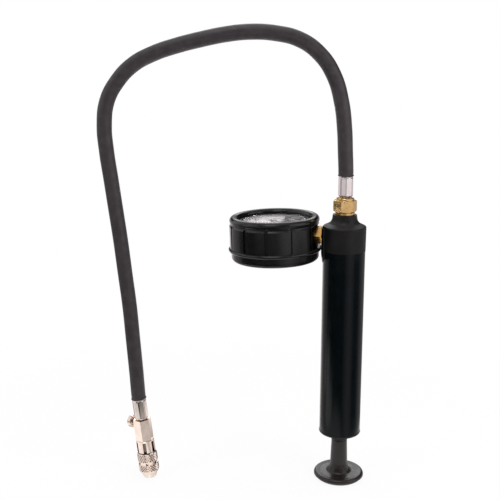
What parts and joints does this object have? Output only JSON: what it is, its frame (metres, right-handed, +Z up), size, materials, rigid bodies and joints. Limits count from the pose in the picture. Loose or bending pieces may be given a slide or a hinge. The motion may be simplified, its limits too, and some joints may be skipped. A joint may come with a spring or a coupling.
{
  "type": "radiator pressure tester",
  "caption": "Hand-pump cooling-system pressure tester: barrel pump with plunger handle, booted dial gauge on its head, and an arched black hose with a quick coupler.",
  "frame": {"origin": "centre of the plunger handle's flat face, on which the tester stands", "axes": "+Z up along the pump; -X towards the gauge and the coupler; -Y towards the viewer"},
  "size_m": [0.2285, 0.0806, 0.3963],
  "materials": {
    "handle_plastic": "satin moulded black",
    "rod_steel": "bright drawn",
    "piston_plastic": "natural nylon",
    "seal_rubber": "plain black",
    "zinc_steel": "zinc plated",
    "barrel_paint": "gloss black",
    "cap_plastic": "satin black",
    "bush_bronze": "sintered",
    "head_plastic": "satin black",
    "spring_steel": "bright wire",
    "ball_steel": "polished",
    "bright_brass": "turned bright",
    "tail_steel": "plated",
    "ferrule_chrome": "polished",
    "hose_rubber": "black with a ribbed bloom",
    "coupler_nickel": "nickel plated",
    "knurled_nickel": "nickel plated, knurled",
    "movement_brass": "stamped",
    "case_paint": "black",
    "dial_paint": "matt white with a plain dark field and plain numbers",
    "pointer_paint": "black",
    "clear_lens": "clear",
    "bezel_plastic": "black",
    "boot_rubber": "glossy black"
  },
  "bodies": {
    "pump": {"barrel": "barrel_paint", "barrel_end_cap": "cap_plastic", "rod_bush": "bush_bronze", "head_cap": "head_plastic", "head_seal": "seal_rubber", "valve_seat": "seal_rubber", "valve_spring": "spring_steel", "outlet_nipple": "bright_brass", "hose_tail": "tail_steel", "ferrule_top": "ferrule_chrome", "hose": "hose_rubber", "ferrule_bottom": "ferrule_chrome", "coupler_body": "coupler_nickel", "coupler_collet": "coupler_nickel", "sleeve_spring": "spring_steel", "coupler_seal": "seal_rubber", "depressor_pin": "movement_brass", "bleed_gland": "coupler_nickel", "gauge_stem": "bright_brass", "gauge_case": "case_paint", "bourdon_tube": "movement_brass", "movement_frame": "movement_brass", "dial": "dial_paint", "dial_screws": "zinc_steel", "gauge_lens": "clear_lens", "gauge_bezel": "bezel_plastic", "gauge_boot": "boot_rubber"},
    "plunger": {"handle": "handle_plastic", "piston_rod": "rod_steel", "piston": "piston_plastic", "cup_seal": "seal_rubber", "piston_washer": "zinc_steel", "piston_nut": "zinc_steel"},
    "nut": {"swivel_nut": "bright_brass"},
    "ball": {"check_ball": "ball_steel"},
    "sleeve": {"coupler_sleeve": "knurled_nickel"},
    "bleed_screw": {"bleed_knob": "knurled_nickel"},
    "sector": {"sector_gear": "movement_brass"},
    "pointer": {"pointer": "pointer_paint", "pinion_arbor": "movement_brass"},
    "link": {"movement_link": "movement_brass"}
  },
  "joints": [
    {"name": "plunger_slide", "type": "slide", "parent": "pump", "child": "plunger", "axis": [0, 0, -1], "range_m": [0, 0.124]},
    {"name": "nut_turn", "type": "hinge", "parent": "pump", "child": "nut", "pos_m": [0, 0, 0.2483], "axis": [0, 0, 1], "continuous": true},
    {"name": "ball_lift", "type": "slide", "parent": "pump", "child": "ball", "axis": [0, 0, 1], "range_m": [0, 0.0015], "stiffness_N_per_m": 50, "springref_m": -0.002, "deforming": ["valve_spring"]},
    {"name": "sleeve_slide", "type": "slide", "parent": "pump", "child": "sleeve", "axis": [-0.1097, 0, 0.994], "range_m": [0, 0.005], "stiffness_N_per_m": 400, "springref_m": -0.003, "deforming": ["sleeve_spring"]},
    {"name": "bleed_turn", "type": "hinge", "parent": "pump", "child": "bleed_screw", "pos_m": [-0.17592, 0, 0.05148], "axis": [-0.8142, 0.5736, -0.0899], "range_deg": [0, 180]},
    {"name": "sector_turn", "type": "hinge", "parent": "pump", "child": "sector", "pos_m": [-0.04164, 0.0197, 0.22167], "axis": [-0.029, 0.0062, 0.9996], "range_deg": [0, 42.19], "stiffness_Nm_per_rad": 0.004},
    {"name": "pointer_turn", "type": "hinge", "parent": "pump", "child": "pointer", "pos_m": [-0.05866, 0.01247, 0.22122], "axis": [-0.029, 0.0062, 0.9996], "range_deg": [-270.01, 0]},
    {"name": "link_slide", "type": "slide", "parent": "pump", "child": "link", "axis": [-0.6225, 0.7823, -0.0229], "range_m": [0, 0.00433]}
  ],
  "couplings": [
    {"joint": "pointer_turn", "follows": "sector_turn", "ratio": -6.4},
    {"joint": "link_slide", "follows": "sector_turn", "m_per_rad": 0.005865}
  ]
}
